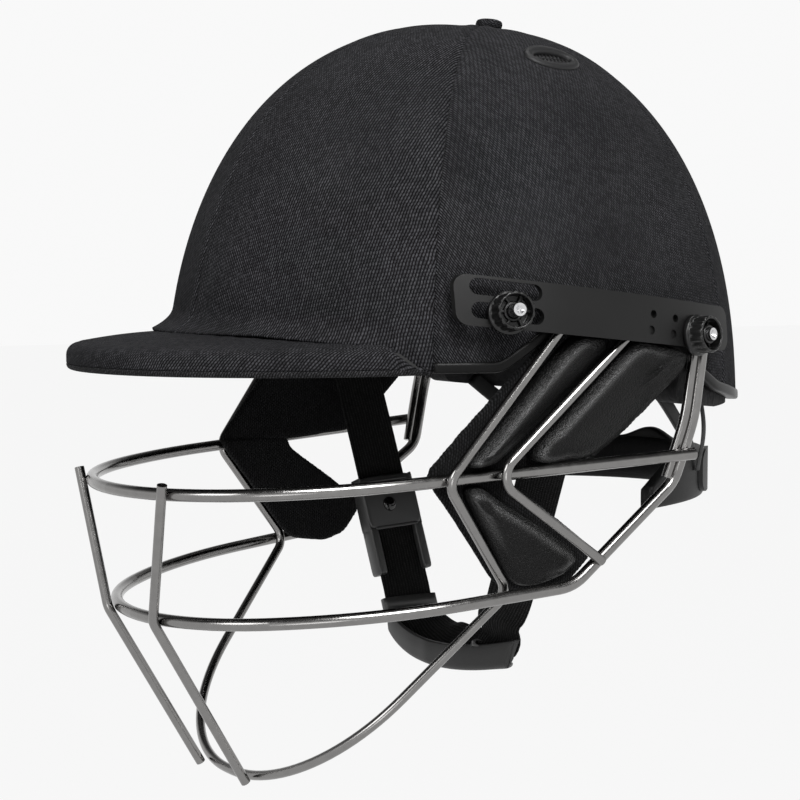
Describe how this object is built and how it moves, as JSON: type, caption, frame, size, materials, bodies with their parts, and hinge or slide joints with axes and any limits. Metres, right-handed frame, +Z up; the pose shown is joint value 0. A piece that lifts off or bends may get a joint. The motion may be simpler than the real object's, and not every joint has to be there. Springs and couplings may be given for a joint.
{
  "type": "cricket helmet",
  "caption": "Cloth-covered cricket helmet with a padded peak, a bare metal face grille on side plates, cheek pads, and a chin strap with a cup.",
  "frame": {"origin": "middle of the head cavity, at the widest level of the shell", "axes": "+Z up, -Y forward, out of the face, +X to the wearer's left"},
  "size_m": [0.2362, 0.3126, 0.3184],
  "materials": {
    "cover_cloth": "matt black twill",
    "lining_cloth": "matt black cloth",
    "shell_plastic": "satin moulded shell",
    "edge_trim": "shiny black trim",
    "liner_foam": null,
    "pad_cloth": "dark padded cloth",
    "vent_plastic": "matt black",
    "grille_steel": "satin bare metal",
    "plate_plastic": "satin black",
    "stud_steel": "bright metal",
    "nut_plastic": "satin black moulding",
    "cheek_foam": "black foam with a fine leathery grain",
    "strap_webbing": "black ribbed webbing",
    "cup_rubber": "dark grey rubber",
    "buckle_plastic": "smooth black moulding",
    "nape_rubber": "black rubber"
  },
  "bodies": {
    "helmet": {"cover_front_left": "cover_cloth", "cover_front_right": "cover_cloth", "cover_side_left": "cover_cloth", "cover_side_right": "cover_cloth", "cover_rear_left": "cover_cloth", "cover_rear_right": "cover_cloth", "peak_cover": "cover_cloth", "top_button": "cover_cloth", "peak_lining": "lining_cloth", "sweatband": "lining_cloth", "shell": "shell_plastic", "edge_binding": "edge_trim", "liner": "liner_foam", "peak_core": "liner_foam", "crown_pad": "pad_cloth", "side_pad_left": "pad_cloth", "side_pad_right": "pad_cloth", "rear_pad": "pad_cloth", "nape_pad": "pad_cloth", "vent_grille_left": "vent_plastic", "vent_grille_right": "vent_plastic", "upper_bar": "grille_steel", "lower_bar": "grille_steel", "chin_loop": "grille_steel", "cheek_rods": "grille_steel", "front_rods": "grille_steel", "brace_rods": "grille_steel", "side_plate_left": "plate_plastic", "side_plate_right": "plate_plastic", "plate_backing_left": "plate_plastic", "plate_backing_right": "plate_plastic", "stud_spacers": "plate_plastic", "front_studs": "stud_steel", "rear_studs": "stud_steel", "strap_rivets": "stud_steel", "cheek_sheet_left": "cheek_foam", "cheek_sheet_right": "cheek_foam", "cheek_pillow_front_left": "cheek_foam", "cheek_pillow_front_right": "cheek_foam", "cheek_pillow_rear_left": "cheek_foam", "cheek_pillow_rear_right": "cheek_foam", "cheek_pillow_lower_left": "cheek_foam", "cheek_pillow_lower_right": "cheek_foam", "elastic_cords": "strap_webbing", "nape_clips": "buckle_plastic", "nape_band": "nape_rubber"},
    "nut_front_left": {"thumb_nut_front_left": "nut_plastic"},
    "nut_front_right": {"thumb_nut_front_right": "nut_plastic"},
    "nut_rear_left": {"thumb_nut_rear_left": "nut_plastic"},
    "nut_rear_right": {"thumb_nut_rear_right": "nut_plastic"},
    "chin_strap": {"strap_left": "strap_webbing", "strap_right": "strap_webbing", "chin_cup": "cup_rubber", "buckle_housing": "buckle_plastic", "strap_keepers": "buckle_plastic"},
    "release_button": {"release_button": "buckle_plastic"}
  },
  "joints": [
    {"name": "nut_front_left_turn", "type": "hinge", "parent": "helmet", "child": "nut_front_left", "pos_m": [0.10315, -0.0475, 0.0473], "axis": [0.9455, -0.2996, 0.1274], "continuous": true},
    {"name": "nut_front_right_turn", "type": "hinge", "parent": "helmet", "child": "nut_front_right", "pos_m": [-0.10315, -0.0475, 0.0473], "axis": [-0.9455, -0.2996, 0.1274], "continuous": true},
    {"name": "nut_rear_left_turn", "type": "hinge", "parent": "helmet", "child": "nut_rear_left", "pos_m": [0.10777, 0.0428, 0.037], "axis": [0.9708, 0.2218, 0.0918], "continuous": true},
    {"name": "nut_rear_right_turn", "type": "hinge", "parent": "helmet", "child": "nut_rear_right", "pos_m": [-0.10777, 0.0428, 0.037], "axis": [-0.9708, 0.2218, 0.0918], "continuous": true},
    {"name": "chin_strap_swing", "type": "hinge", "parent": "helmet", "child": "chin_strap", "pos_m": [0, -0.0035, 0.0485], "axis": [1, 0, 0], "range_deg": [-20, 20]},
    {"name": "release_button_press", "type": "slide", "parent": "chin_strap", "child": "release_button", "axis": [-0.9441, 0, -0.3297], "range_m": [0, 0.0012], "stiffness_N_per_m": 400}
  ]
}
